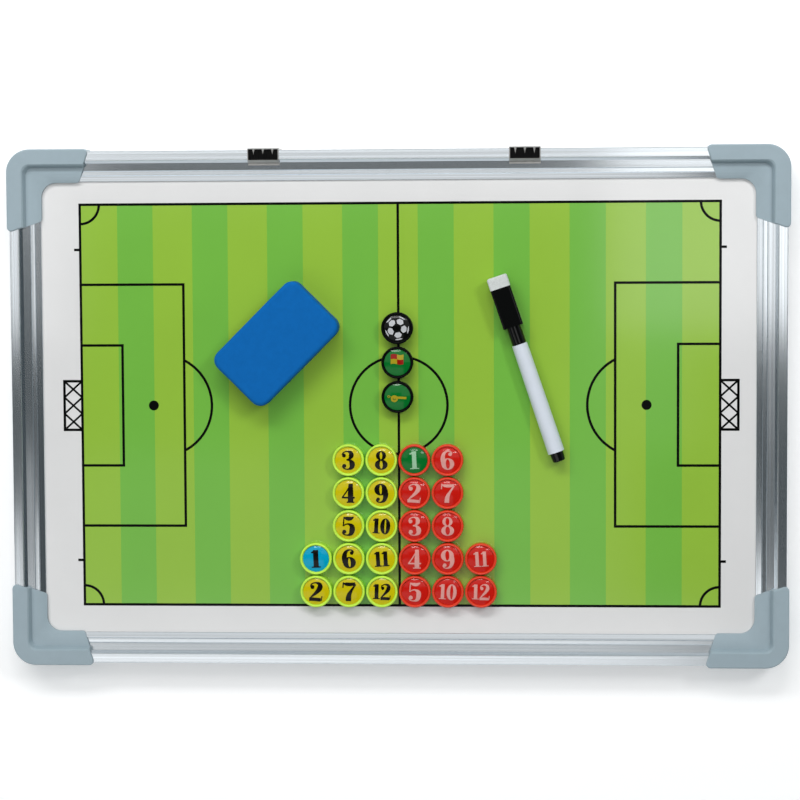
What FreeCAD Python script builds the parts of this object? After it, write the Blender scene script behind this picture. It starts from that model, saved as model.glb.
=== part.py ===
import FreeCAD, Part
import math
import os

# Magnetic football tactics board, lying face up. X runs along its length, Y towards the rail with the
# hanging clips, Z up from the surface it lies on. Every piece is its own solid, in millimetres.

Vector = FreeCAD.Vector
ORIGIN = Vector(0, 0, 0)
ALONG = Vector(1, 0, 0)
ACROSS = Vector(0, 1, 0)
UP = Vector(0, 0, 1)
QUARTER_TURN = 90
HALF_TURN = 180
FULL_TURN = 360

# Size over the corner caps, and how far a cutting shape runs past what it cuts
board_length = 450.0
board_width = 300.0
cut_overrun = 2.0

# Sine of the largest tilt at which an edge counts as parallel to a direction
parallel_tilt_share = 0.001

# Writing panel: steel sheet, fibre core and backing sheet
sheet_thickness = 0.4
core_thickness = 5.0
backing_thickness = 0.3
panel_corner_radius = 3.0
panel_edge_gap = 0.5

# Rail section: reaches run inward from the outer face, heights up from the underside
rail_height = 17.0
rail_wall = 1.2
ridge_width = 5.6
ridge_foot_reach = 7.0
land_start_reach = 11.2
land_end_reach = 14.4
flange_reach = 17.4
flange_wall = 1.2
lip_thickness = 1.0
land_rise = 1.3
foot_rise = 0.2
lip_seat_width = 2.0
lip_seat_step = 0.2
panel_back_height = 4.5
back_lip_wall = 1.2
rail_round = 0.6
lip_round = 0.4
groove_width = 0.6
groove_depth = 0.25
rail_setback = 24.0

# Corner cap: a moulded shell over two rail ends, with a prong in each rail
cap_wall = 1.2
cap_gap = 0.1
cap_lip_wall = 0.5
cap_ridge_wall = 2.2
cap_ridge_chamfer = 0.7
cap_flange_fall = 1.5
cap_flange_power = 2.5
cap_flange_steps = 6
cap_leg_ridge = 48.3
cap_leg_flange = 41.5
cap_outer_radius = 13.5
cap_ridge_radius = 4.5
cap_inner_radius = 8.5
cap_tip_radius = 2.5
cap_edge_round = 0.9
prong_length = 20.0
prong_root = 3.0
prong_gap = 0.15
prong_side_wall = 0.45

# Pan-head screw that pins a rail to a prong, driven from behind
screw_inset = 9.0
screw_length = 7.0
screw_head_radius = 1.7
screw_head_height = 0.9
screw_head_round = 0.4
screw_slot_width = 0.5
screw_slot_depth = 0.4
screw_gap = 0.2

# Hanging clip: folded steel round the rail, with a hanging eye behind and a ribbed pad in front
clip_sheet = 0.8
clip_gap = 0.15
clip_width = 18.0
clip_lip_length = 1.6
clip_leg_reach = 16.0
clip_bend_radius = 0.9
clip_corner_radius = 2.5
eye_setback = 4.4
eye_radius = 2.5
clip_left_x = -75.8
clip_right_x = 74.2
pad_end_setback = 0.6
pad_overhang = 0.25
pad_thickness = 1.2
pad_groove_count = 10
pad_groove_width = 0.7
pad_groove_depth = 0.4
pad_notch_count = 3
pad_notch_pitch = 5.4
pad_notch_width = 1.4
pad_notch_depth = 3.4

# Magnetic disc: cup with a raised rim, printed card under a clear dome, magnet underneath
disc_radius = 9.2
disc_height = 7.0
disc_rim_width = 1.9
disc_rim_round = 0.6
disc_rim_bead = 0.3
disc_foot_chamfer = 0.4
disc_recess_depth = 1.8
disc_gap = 0.1
card_thickness = 0.3
dome_edge_height = 0.2
dome_rise = 1.1
magnet_radius = 6.5
magnet_height = 3.0
disc_spacing = 0.7
disc_group_x = 0.6
disc_group_setback = 24.9
symbol_disc_spacing = 1.45
symbol_disc_setback = 36.5

# Disc places as shares of the pitch: columns from the middle of the group, rows down from its top
yellow_column_shares = (-2.5, -2.5, -1.5, -1.5, -1.5, -1.5, -1.5, -0.5, -0.5, -0.5, -0.5, -0.5)
yellow_row_shares = (3, 4, 0, 1, 2, 3, 4, 0, 1, 2, 3, 4)
red_column_shares = (0.5, 0.5, 0.5, 0.5, 0.5, 1.5, 1.5, 1.5, 1.5, 1.5, 2.5, 2.5)
red_row_shares = (0, 1, 2, 3, 4, 0, 1, 2, 3, 4, 3, 4)
symbol_names = ("whistle_disc", "flag_disc", "ball_disc")

# Eraser: foam block over a felt pad, with a magnet plate set into the foam
eraser_length = 67.4
eraser_width = 41.0
eraser_corner_radius = 6.3
eraser_foam_height = 14.0
eraser_top_round = 2.2
eraser_felt_height = 3.0
eraser_felt_inset = 0.3
eraser_magnet_length = 44.0
eraser_magnet_width = 20.0
eraser_magnet_height = 1.5
eraser_x = -68.4
eraser_y = 37.7
eraser_turn = 45.0

# Marker: measured along its axis from the tail end
marker_x = 75.7
marker_y = 22.5
marker_turn = 108.66
plug_length = 5.5
plug_radius = 3.6
plug_spigot_length = 6.0
plug_round = 0.8
barrel_length = 65.5
barrel_tail_radius = 4.85
barrel_front_radius = 4.5
barrel_wall = 0.9
barrel_lift = 0.85
spigot_gap = 0.1
core_gap = 0.3
core_end_gap = 0.2
holder_spigot_length = 7.0
holder_length = 14.0
holder_root_radius = 3.1
holder_tip_radius = 2.2
nib_radius = 1.4
nib_tip_round = 1.1
nib_gap = 0.1
nib_reach = 4.5
nib_depth = 10.0
marker_cap_gap = 0.2
neck_length = 10.5
neck_wall = 0.8
neck_root = 2.0
cap_bore_gap = 0.3
cap_bore_end_gap = 1.0
box_length = 23.3
box_width = 11.8
box_round = 1.1
cap_magnet_length = 17.0
cap_magnet_width = 8.4
cap_magnet_height = 1.6
cap_felt_length = 7.0
cap_felt_round = 0.8
felt_tenon_length = 3.0
felt_tenon_wall = 0.9
felt_tenon_gap = 0.1

# Heights and half sizes that follow from the sizes above
cap_over = cap_wall + cap_gap
frame_length = board_length - 2 * cap_over
frame_width = board_width - 2 * cap_over
rail_base = cap_over
cap_top = rail_base + rail_height + cap_over
panel_thickness = backing_thickness + core_thickness + sheet_thickness
panel_back = rail_base + panel_back_height
panel_face = panel_back + panel_thickness
face_height = panel_back_height + panel_thickness
lip_top_height = face_height + lip_thickness
land_height = lip_top_height + land_rise
foot_height = land_height + foot_rise
back_lip_height = panel_back_height - back_lip_wall
panel_length = frame_length - 2 * (ridge_foot_reach + panel_edge_gap)
panel_width = frame_width - 2 * (ridge_foot_reach + panel_edge_gap)
prong_width = ridge_width - 2 * (rail_wall + prong_gap)
prong_reach = rail_wall + prong_gap + prong_width / 2
screw_hole_radius = prong_width / 2 - prong_side_wall
screw_radius = screw_hole_radius - screw_gap
screw_head_hole_radius = screw_head_radius + screw_gap
eye_reach = clip_leg_reach - eye_setback
pad_length = clip_width - 2 * pad_end_setback
pad_width = ridge_width + 2 * pad_overhang
disc_face_radius = disc_radius - disc_rim_width
disc_face_height = disc_height - disc_recess_depth
disc_pitch = 2 * disc_radius + disc_spacing
disc_group_height = max(yellow_row_shares) * disc_pitch
disc_group_top_y = flange_reach - frame_width / 2 + disc_group_setback + disc_group_height
symbol_disc_pitch = 2 * disc_radius + symbol_disc_spacing
symbol_disc_bottom_y = disc_group_top_y + symbol_disc_setback
axis_height = barrel_tail_radius + barrel_lift
box_height = 2 * axis_height
cap_bore_radius = holder_root_radius + cap_bore_gap
neck_radius = cap_bore_radius + neck_wall
barrel_bore_radius = barrel_front_radius - barrel_wall
barrel_end = plug_length + barrel_length
cap_start = barrel_end + marker_cap_gap
box_start = cap_start + neck_length
box_end = box_start + box_length
marker_length = box_end + cap_felt_length


# Outlines and solids that several pieces use
def rounded_wire(corners):
    """Closed wire through (point, radius) corners, each rounded by an arc tangent to its two sides."""
    bends = []
    for index, (corner, radius) in enumerate(corners):
        before = (corners[index - 1][0] - corner).normalize()
        after = (corners[(index + 1) % len(corners)][0] - corner).normalize()
        half = before.getAngle(after) / 2
        middle = (before + after).normalize()
        setback = radius / math.tan(half)
        arc_point = corner + middle * (radius / math.sin(half) - radius)
        bends.append((corner + before * setback, arc_point, corner + after * setback, radius))
    edges = []
    for index, (start, arc_point, end, radius) in enumerate(bends):
        if radius:
            edges.append(Part.Arc(start, arc_point, end).toShape())
        edges.append(Part.LineSegment(end, bends[(index + 1) % len(bends)][0]).toShape())
    return Part.Wire(edges)


def rectangle_wire(length, width, radius, z):
    """Rounded rectangle about the Z axis, at height z."""
    x = length / 2
    y = width / 2
    corners = [(-x, -y), (x, -y), (x, y), (-x, y)]
    return rounded_wire([(Vector(px, py, z), radius) for px, py in corners])


def plate(length, width, radius, z, height):
    """Flat plate with rounded corners, centred on the Z axis."""
    return Part.Face(rectangle_wire(length, width, radius, z)).extrude(UP * height)


def section_bar(corners, start_x, length):
    """Bar along X from a section of (reach, height, radius) corners; reach runs towards -Y."""
    points = [(Vector(start_x, -reach, height), radius) for reach, height, radius in corners]
    return Part.Face(rounded_wire(points)).extrude(ALONG * length)


def turned(corners):
    """Solid of revolution about Z from (radial reach, height, radius) corners."""
    points = [(Vector(reach, 0, height), radius) for reach, height, radius in corners]
    return Part.Face(rounded_wire(points)).revolve(ORIGIN, UP, FULL_TURN)


def placed(shape, x, y, z, turn=0):
    """Copy of a shape, turned about Z at the origin and then moved."""
    copy = shape.copy()
    copy.rotate(ORIGIN, UP, turn)
    copy.translate(Vector(x, y, z))
    return copy


def along_axis(shape, start):
    """Solid made upright, laid along X with its foot at a distance along the marker's axis."""
    copy = shape.copy()
    copy.rotate(ORIGIN, ACROSS, QUARTER_TURN)
    copy.translate(Vector(start, 0, axis_height))
    return copy


def edges_along(shape, direction):
    """Straight edges of a shape that run parallel to a direction."""
    found = []
    for edge in shape.Edges:
        if edge.Curve.TypeId == "Part::GeomLine":
            tilt = edge.tangentAt(edge.FirstParameter).cross(direction)
            if tilt.Length < parallel_tilt_share:
                found.append(edge)
    return found


def row_places(count, pitch):
    """Places of a row of equal steps, centred on zero."""
    return [(index - (count - 1) / 2) * pitch for index in range(count)]


# Writing panel
def panel_layer(base, thickness):
    return plate(panel_length, panel_width, panel_corner_radius, base, thickness)


# Rails
def rail_section():
    """Outer ridge as a tube, with a slot for the panel between the faceted front flange and the back lip."""
    return [
        (0, 0, rail_round),
        (ridge_foot_reach, 0, 0),
        (ridge_foot_reach, back_lip_height, 0),
        (flange_reach, back_lip_height, 0),
        (flange_reach, panel_back_height, 0),
        (ridge_foot_reach, panel_back_height, 0),
        (ridge_foot_reach, foot_height - flange_wall, 0),
        (flange_reach - lip_seat_width, face_height + lip_seat_step, 0),
        (flange_reach - lip_seat_width, face_height, 0),
        (flange_reach, face_height, 0),
        (flange_reach, lip_top_height, lip_round),
        (land_end_reach, land_height, 0),
        (land_end_reach - groove_width / 2, land_height - groove_depth, 0),
        (land_end_reach - groove_width, land_height, 0),
        (land_start_reach + groove_width, land_height, 0),
        (land_start_reach + groove_width / 2, land_height - groove_depth, 0),
        (land_start_reach, land_height, 0),
        (ridge_foot_reach, foot_height, 0),
        (ridge_width, rail_height, rail_round),
        (0, rail_height, rail_round),
    ]


def hollow_section():
    return [
        (rail_wall, rail_wall, 0),
        (ridge_foot_reach - rail_wall, rail_wall, 0),
        (ridge_foot_reach - rail_wall, foot_height - rail_wall, 0),
        (ridge_width - rail_wall, rail_height - rail_wall, 0),
        (rail_wall, rail_height - rail_wall, 0),
    ]


def rail(frame_side):
    """Rail along X with its outer face at Y = 0, for one side of the frame."""
    length = frame_side - 2 * rail_setback
    start = -length / 2
    bar = section_bar(rail_section(), start, length)
    hollow = section_bar(hollow_section(), start - cut_overrun, length + 2 * cut_overrun)
    holes = []
    for end in (-1, 1):
        foot = Vector(end * (length / 2 - screw_inset), -prong_reach, -cut_overrun)
        holes.append(Part.makeCylinder(screw_hole_radius, rail_wall + 2 * cut_overrun, foot))
    return bar.cut([hollow] + holes)


def on_side(shape, turn):
    """Shape made for a rail, moved to the side of the frame that a turn about Z gives."""
    reach = frame_length / 2 if turn % HALF_TURN else frame_width / 2
    copy = shape.copy()
    copy.translate(Vector(0, reach, rail_base))
    copy.rotate(ORIGIN, UP, turn)
    return copy


# Corner caps
def cap_envelope():
    """L-shaped prism over the corner at +X +Y, its leg ends slanted, with rounded outer edges."""
    x = board_length / 2
    y = board_width / 2
    face = cap_over + flange_reach + cap_gap + cap_lip_wall
    corners = [
        (Vector(x - cap_leg_ridge, y, 0), cap_tip_radius),
        (Vector(x, y, 0), cap_outer_radius),
        (Vector(x, y - cap_leg_ridge, 0), cap_tip_radius),
        (Vector(x - face, y - cap_leg_flange, 0), cap_tip_radius),
        (Vector(x - face, y - face, 0), cap_inner_radius),
        (Vector(x - cap_leg_flange, y - face, 0), cap_tip_radius),
    ]
    prism = Part.Face(rounded_wire(corners)).extrude(UP * cap_top)
    rims = [edge for edge in prism.Edges if edge.BoundBox.ZLength < cap_edge_round]
    return prism.makeFillet(cap_edge_round, rims)


def frame_wire(reach, height, radius):
    """Rounded rectangle at a reach inside the rails' outer faces and a height above their underside."""
    return rectangle_wire(frame_length - 2 * reach, frame_width - 2 * reach, radius, rail_base + height)


def cap_front_cutter():
    """Space in front of the cap's bowed flange and inside its thick ridge, which has a chamfered inner edge."""
    ridge_over = cap_gap + cap_ridge_wall
    ridge_slope = (ridge_foot_reach - ridge_width) / (rail_height - foot_height)
    flange_start = ridge_foot_reach + ridge_over
    flange_width = flange_reach + cap_gap + cap_lip_wall - flange_start
    wires = []
    for step in range(cap_flange_steps, -1, -1):
        share = step / cap_flange_steps
        run = (flange_width + cut_overrun) * share
        fall = cap_flange_fall * (run / flange_width) ** cap_flange_power
        radius = cap_ridge_radius + (cap_inner_radius - cap_ridge_radius) * share
        wires.append(frame_wire(flange_start + run, foot_height + cap_over - fall, radius))
    wires += [
        frame_wire(
            ridge_width + ridge_over + cap_ridge_chamfer * ridge_slope,
            rail_height + cap_over - cap_ridge_chamfer,
            cap_ridge_radius,
        ),
        frame_wire(
            ridge_width + ridge_over - cap_ridge_chamfer - cut_overrun,
            rail_height + cap_over + cut_overrun,
            cap_ridge_radius,
        ),
    ]
    return Part.makeLoft(wires, True, True)


def cap_back_cutter():
    """Space behind the rails' back lips, inside the tubes."""
    depth = rail_base + back_lip_height - cap_over
    reach = ridge_foot_reach + cap_over
    face = Part.Face(frame_wire(reach, -rail_base - cut_overrun, cap_ridge_radius))
    return face.extrude(UP * (depth + cut_overrun))


def rail_pocket(frame_side):
    """Room for a rail's end inside the cap, one gap larger than the rail all round."""
    corners = [
        (-cap_gap, -cap_gap, 0),
        (ridge_foot_reach + cap_gap, -cap_gap, 0),
        (ridge_foot_reach + cap_gap, back_lip_height - cap_gap, 0),
        (flange_reach + cap_gap, back_lip_height - cap_gap, 0),
        (flange_reach + cap_gap, lip_top_height + cap_gap, 0),
        (land_end_reach + cap_gap, land_height + cap_gap, 0),
        (ridge_foot_reach + cap_gap, foot_height + cap_gap, 0),
        (ridge_width + cap_gap, rail_height + cap_gap, 0),
        (-cap_gap, rail_height + cap_gap, 0),
    ]
    length = frame_side - 2 * (rail_setback - cap_gap)
    return section_bar(corners, -length / 2, length)


def prong(frame_side):
    """Tongue at a rail's +X end, with its pilot hole, in the rail's own place."""
    length = prong_length + prong_root
    start = frame_side / 2 - rail_setback - prong_length
    base = rail_wall + prong_gap
    height = rail_height - 2 * base
    corner = Vector(start, -prong_reach - prong_width / 2, base)
    tongue = Part.makeBox(length, prong_width, height, corner)
    depth = screw_length + screw_gap
    pilot_foot = Vector(frame_side / 2 - rail_setback - screw_inset, -prong_reach, 0)
    return tongue.cut(Part.makeCylinder(screw_hole_radius, depth, pilot_foot))


def head_hole(frame_side, end):
    """Hole in the cap's back for a screw head, in the rail's own place."""
    x = end * (frame_side / 2 - rail_setback - screw_inset)
    foot = Vector(x, -prong_reach, -rail_base - cut_overrun)
    return Part.makeCylinder(screw_head_hole_radius, rail_base + cut_overrun, foot)


def corner_cap():
    """Cap for the corner at +X +Y: it clasps the top rail's right end and the right rail's top end."""
    panel_room = plate(
        panel_length + 2 * panel_edge_gap,
        panel_width + 2 * panel_edge_gap,
        0,
        panel_back - cap_gap,
        panel_thickness + 2 * cap_gap,
    )
    cutters = [
        cap_front_cutter(),
        cap_back_cutter(),
        panel_room,
        on_side(rail_pocket(frame_length), 0),
        on_side(rail_pocket(frame_width), -QUARTER_TURN),
        on_side(head_hole(frame_length, 1), 0),
        on_side(head_hole(frame_width, -1), -QUARTER_TURN),
    ]
    shell = cap_envelope().cut(cutters)
    top_prong = on_side(prong(frame_length), 0)
    side_prong = on_side(prong(frame_width).mirror(ORIGIN, ALONG), -QUARTER_TURN)
    return shell.fuse([top_prong, side_prong]).removeSplitter()


# Corner screws
def screw():
    """Pan-head screw pointing up, its head's seat at Z = 0, with a cross recess in the head."""
    body = turned([
        (0, -screw_head_height, 0),
        (screw_head_radius, -screw_head_height, screw_head_round),
        (screw_head_radius, 0, 0),
        (screw_radius, 0, 0),
        (screw_radius, screw_length - screw_radius, 0),
        (0, screw_length, 0),
    ])
    slot_length = 2 * screw_radius
    foot = -screw_head_height - cut_overrun
    depth = cut_overrun + screw_slot_depth
    cross = []
    for length, width in ((slot_length, screw_slot_width), (screw_slot_width, slot_length)):
        cross.append(Part.makeBox(length, width, depth, Vector(-length / 2, -width / 2, foot)))
    return body.cut(cross)


def corner_screws():
    """All the screws, two at each corner, one in each rail's end."""
    screws = []
    long_turns = (0, HALF_TURN)
    short_turns = (QUARTER_TURN, -QUARTER_TURN)
    for frame_side, turns in ((frame_length, long_turns), (frame_width, short_turns)):
        for end in (-1, 1):
            x = end * (frame_side / 2 - rail_setback - screw_inset)
            one = placed(screw(), x, -prong_reach, 0)
            screws += [on_side(one, turn) for turn in turns]
    return Part.makeCompound(screws)


# Hanging clips
def folded_sheet(path, thickness):
    """Section of a folded sheet: the path is its inner side, and the sheet lies to the path's right."""
    sides = []
    for (reach, height), (next_reach, next_height) in zip(path, path[1:]):
        side = Vector(next_height - height, reach - next_reach, 0).normalize()
        sides.append(side)
    outer = []
    for index, (reach, height) in enumerate(path):
        first = sides[max(index - 1, 0)]
        second = sides[min(index, len(sides) - 1)]
        shift = (first + second) * (thickness / (1 + first.dot(second)))
        outer.append((reach + shift.x, height + shift.y))
    return outer


def hanger_clip():
    """Clip for the top rail, centred on X = 0, in the rail's own place."""
    lip_reach = ridge_foot_reach + clip_gap + clip_lip_length
    path = [
        (lip_reach, foot_height + clip_gap),
        (ridge_foot_reach + clip_gap, foot_height + clip_gap),
        (ridge_width + clip_gap, rail_height + clip_gap),
        (-clip_gap, rail_height + clip_gap),
        (-clip_gap, -clip_gap),
        (clip_leg_reach, -clip_gap),
    ]
    outer = folded_sheet(path, clip_sheet)
    radii = (0, 0, clip_bend_radius, clip_bend_radius, clip_bend_radius, 0)
    corners = [(reach, height, 0) for reach, height in path]
    corners += [(*point, radius) for point, radius in zip(reversed(outer), reversed(radii))]
    sheet = section_bar(corners, -clip_width / 2, clip_width)
    upright = [edge for edge in edges_along(sheet, UP) if -edge.BoundBox.YMin > eye_reach]
    sheet = sheet.makeFillet(clip_corner_radius, upright)
    eye_foot = Vector(0, -eye_reach, -clip_gap - clip_sheet - cut_overrun)
    return sheet.cut(Part.makeCylinder(eye_radius, clip_sheet + 2 * cut_overrun, eye_foot))


def hanger_pad():
    """Ribbed pad on the clip's front, with notches in its outer edge, in the rail's own place."""
    base = rail_height + clip_gap + clip_sheet
    inner = pad_overhang - pad_width
    groove_foot = base + pad_thickness - pad_groove_depth
    body = Part.makeBox(pad_length, pad_width, pad_thickness, Vector(-pad_length / 2, inner, base))
    cutters = []
    for x in row_places(pad_groove_count, pad_length / pad_groove_count):
        corner = Vector(x - pad_groove_width / 2, inner - cut_overrun, groove_foot)
        cutters.append(Part.makeBox(pad_groove_width, pad_width + 2 * cut_overrun, pad_thickness, corner))
    for x in row_places(pad_notch_count, pad_notch_pitch):
        corners = [
            (Vector(x - pad_notch_width / 2, pad_overhang, base), 0),
            (Vector(x + pad_notch_width / 2, pad_overhang, base), 0),
            (Vector(x, pad_overhang - pad_notch_depth, base), 0),
        ]
        cutters.append(Part.Face(rounded_wire(corners)).extrude(UP * pad_thickness))
    return body.cut(cutters)


# Magnetic discs
def disc():
    """Cup, card, dome and magnet of one disc, standing on Z = 0."""
    pocket_radius = magnet_radius + disc_gap
    pocket_height = magnet_height + disc_gap
    cup = turned([
        (0, pocket_height, 0),
        (pocket_radius, pocket_height, 0),
        (pocket_radius, 0, 0),
        (disc_radius - disc_foot_chamfer, 0, 0),
        (disc_radius, disc_foot_chamfer, 0),
        (disc_radius, disc_height, disc_rim_round),
        (disc_face_radius, disc_height, disc_rim_bead),
        (disc_face_radius, disc_face_height, 0),
        (0, disc_face_height, 0),
    ])
    card_radius = disc_face_radius - disc_gap
    card = Part.makeCylinder(card_radius, card_thickness, UP * disc_face_height)
    dome_foot = disc_face_height + card_thickness
    dome_edge = dome_foot + dome_edge_height
    dome_top = dome_edge + dome_rise
    ball_radius = (card_radius ** 2 + dome_rise ** 2) / (2 * dome_rise)
    shell = Part.makeSphere(ball_radius, UP * (dome_top - ball_radius))
    dome = Part.makeCylinder(card_radius, dome_top - dome_foot, UP * dome_foot).common(shell)
    magnet = Part.makeCylinder(magnet_radius, magnet_height)
    return Part.makeCompound([cup, card, dome, magnet])


def disc_places():
    """Name and place of every disc."""
    places = []
    teams = (
        ("yellow", yellow_column_shares, yellow_row_shares),
        ("red", red_column_shares, red_row_shares),
    )
    for colour, columns, rows in teams:
        for index, (column, row) in enumerate(zip(columns, rows)):
            x = disc_group_x + column * disc_pitch
            y = disc_group_top_y - row * disc_pitch
            places.append((f"{colour}_disc_{index + 1:02d}", x, y))
    for index, name in enumerate(symbol_names):
        places.append((name, disc_group_x, symbol_disc_bottom_y + index * symbol_disc_pitch))
    return places


# Eraser
def eraser_pieces():
    foam_foot = eraser_felt_height
    felt_length = eraser_length - 2 * eraser_felt_inset
    felt_width = eraser_width - 2 * eraser_felt_inset
    felt = plate(felt_length, felt_width, eraser_corner_radius, 0, eraser_felt_height)
    block = plate(eraser_length, eraser_width, eraser_corner_radius, foam_foot, eraser_foam_height)
    rims = [edge for edge in block.Edges if edge.BoundBox.ZMin > foam_foot + eraser_foam_height / 2]
    magnet = plate(eraser_magnet_length, eraser_magnet_width, 0, foam_foot, eraser_magnet_height)
    foam = block.makeFillet(eraser_top_round, rims).cut(magnet)
    return {"eraser_felt": felt, "eraser_foam": foam, "eraser_magnet": magnet}


# Marker
def marker_pen():
    """Barrel with its tail plug, ink core, nib holder and nib."""
    spigot_radius = barrel_bore_radius - spigot_gap
    barrel = turned([
        (barrel_bore_radius, 0, 0),
        (barrel_tail_radius, 0, 0),
        (barrel_front_radius, barrel_length, 0),
        (barrel_bore_radius, barrel_length, 0),
    ])
    plug = turned([
        (0, 0, 0),
        (plug_radius, 0, plug_round),
        (plug_radius + plug_round / 2, plug_length, 0),
        (spigot_radius, plug_length, 0),
        (spigot_radius, plug_length + plug_spigot_length, 0),
        (0, plug_length + plug_spigot_length, 0),
    ])
    nib_room = nib_radius + nib_gap
    holder = turned([
        (nib_room, -holder_spigot_length, 0),
        (spigot_radius, -holder_spigot_length, 0),
        (spigot_radius, 0, 0),
        (holder_root_radius, 0, 0),
        (holder_tip_radius, holder_length, 0),
        (nib_room, holder_length, 0),
    ])
    core_start = plug_length + plug_spigot_length + core_end_gap
    core_end = barrel_end - holder_spigot_length - core_end_gap
    core = Part.makeCylinder(barrel_bore_radius - core_gap, core_end - core_start)
    nib_start = core_end - nib_depth
    socket_foot = UP * (nib_start - core_start)
    nib_socket = Part.makeCylinder(nib_room, nib_depth + cut_overrun, socket_foot)
    nib_end = barrel_end + holder_length + nib_reach
    nib = turned([
        (0, 0, 0),
        (nib_radius, 0, 0),
        (nib_radius, nib_end - nib_start, nib_tip_round),
        (0, nib_end - nib_start, 0),
    ])
    return {
        "marker_tail_plug": along_axis(plug, 0),
        "marker_barrel": along_axis(barrel, plug_length),
        "marker_ink_core": along_axis(core.cut(nib_socket), core_start),
        "marker_nib_holder": along_axis(holder, barrel_end),
        "marker_nib": along_axis(nib, nib_start),
    }


def marker_cap():
    """Cap with a round neck and a square body, the magnet under it and the felt in its end."""
    bore_length = holder_length + nib_reach + cap_bore_end_gap
    body = Part.makeBox(box_length, box_width, box_height, Vector(box_start, -box_width / 2, 0))
    body = body.makeFillet(box_round, edges_along(body, ALONG))
    neck = along_axis(Part.makeCylinder(neck_radius, neck_length + neck_root), cap_start)
    bore = along_axis(Part.makeCylinder(cap_bore_radius, bore_length + cut_overrun), cap_start - cut_overrun)
    magnet_start = box_start + (box_length - cap_magnet_length) / 2
    magnet_corner = Vector(magnet_start, -cap_magnet_width / 2, 0)
    magnet = Part.makeBox(cap_magnet_length, cap_magnet_width, cap_magnet_height, magnet_corner)
    pocket_width = box_width - 2 * felt_tenon_wall
    pocket_height = box_height - 2 * felt_tenon_wall
    pocket_corner = Vector(box_end - felt_tenon_length, -pocket_width / 2, felt_tenon_wall)
    pocket = Part.makeBox(felt_tenon_length + cut_overrun, pocket_width, pocket_height, pocket_corner)
    tenon_corner = pocket_corner + Vector(0, felt_tenon_gap, felt_tenon_gap)
    tenon = Part.makeBox(
        felt_tenon_length + cap_felt_length,
        pocket_width - 2 * felt_tenon_gap,
        pocket_height - 2 * felt_tenon_gap,
        tenon_corner,
    )
    head = Part.makeBox(cap_felt_length, box_width, box_height, Vector(box_end, -box_width / 2, 0))
    head = head.makeFillet(cap_felt_round, edges_along(head, ALONG))
    return {
        "marker_cap": body.fuse(neck).cut([bore, magnet, pocket]).removeSplitter(),
        "marker_cap_magnet": magnet,
        "marker_cap_felt": head.fuse(tenon).removeSplitter(),
    }


# All the pieces in their places
def board_pieces():
    core_base = panel_back + backing_thickness
    top_right = corner_cap()
    top_left = top_right.mirror(ORIGIN, ALONG)
    long_rail = rail(frame_length)
    short_rail = rail(frame_width)
    return {
        "back_sheet": panel_layer(panel_back, backing_thickness),
        "board_core": panel_layer(core_base, core_thickness),
        "printed_panel": panel_layer(core_base + core_thickness, sheet_thickness),
        "top_rail": on_side(long_rail, 0),
        "left_rail": on_side(short_rail, QUARTER_TURN),
        "bottom_rail": on_side(long_rail, HALF_TURN),
        "right_rail": on_side(short_rail, -QUARTER_TURN),
        "corner_cap_top_right": top_right,
        "corner_cap_top_left": top_left,
        "corner_cap_bottom_right": top_right.mirror(ORIGIN, ACROSS),
        "corner_cap_bottom_left": top_left.mirror(ORIGIN, ACROSS),
        "corner_screws": corner_screws(),
    }


def hanger_pieces():
    pieces = {}
    for side, x in (("left", clip_left_x), ("right", clip_right_x)):
        pieces[f"hanger_clip_{side}"] = placed(on_side(hanger_clip(), 0), x, 0, 0)
        pieces[f"hanger_pad_{side}"] = placed(on_side(hanger_pad(), 0), x, 0, 0)
    return pieces


def loose_pieces():
    """Discs, eraser and marker where they lie on the panel's face."""
    one_disc = disc()
    pieces = {name: placed(one_disc, x, y, panel_face) for name, x, y in disc_places()}
    for name, shape in eraser_pieces().items():
        pieces[name] = placed(shape, eraser_x, eraser_y, panel_face, eraser_turn)
    for name, shape in {**marker_pen(), **marker_cap()}.items():
        centred = placed(shape, -marker_length / 2, 0, 0)
        pieces[name] = placed(centred, marker_x, marker_y, panel_face, marker_turn)
    return pieces


os.makedirs("parts", exist_ok=True)
for name, shape in {**board_pieces(), **hanger_pieces(), **loose_pieces()}.items():
    shape.exportStep(f"parts/{name}.step")
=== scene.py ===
import math

import bmesh
import bpy
from mathutils import Matrix, Vector, noise


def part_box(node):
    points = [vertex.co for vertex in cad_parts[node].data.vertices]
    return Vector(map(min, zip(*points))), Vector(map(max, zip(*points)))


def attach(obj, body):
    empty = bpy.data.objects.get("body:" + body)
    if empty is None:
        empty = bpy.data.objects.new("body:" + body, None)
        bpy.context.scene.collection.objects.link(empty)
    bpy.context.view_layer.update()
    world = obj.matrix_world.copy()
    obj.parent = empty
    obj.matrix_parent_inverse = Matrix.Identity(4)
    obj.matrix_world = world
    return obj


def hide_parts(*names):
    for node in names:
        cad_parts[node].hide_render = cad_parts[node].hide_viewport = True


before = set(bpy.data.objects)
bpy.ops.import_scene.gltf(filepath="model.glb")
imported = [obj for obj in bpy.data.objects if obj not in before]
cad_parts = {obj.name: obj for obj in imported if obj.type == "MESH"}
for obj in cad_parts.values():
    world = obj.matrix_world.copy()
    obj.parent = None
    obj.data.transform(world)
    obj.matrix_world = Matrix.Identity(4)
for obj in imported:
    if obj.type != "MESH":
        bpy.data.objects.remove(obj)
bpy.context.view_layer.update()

# Looks of a magnetic football tactics board that lies face up, in the frame of its CAD model.
# Lengths are in millimetres until a mesh, light or camera is made. X runs along the board, Z is up.

MM = 0.001
QUARTER_TURN = math.pi / 2
HALF_TURN = math.pi
FULL_TURN = 2 * math.pi

# Camera: place, turn in degrees, lens and sensor
camera_place = (89.6, 98.1, 1451.0)
camera_turn = (-3.736, 3.473, -0.303)
camera_lens = 112.5
camera_sensor = 36.0

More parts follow.
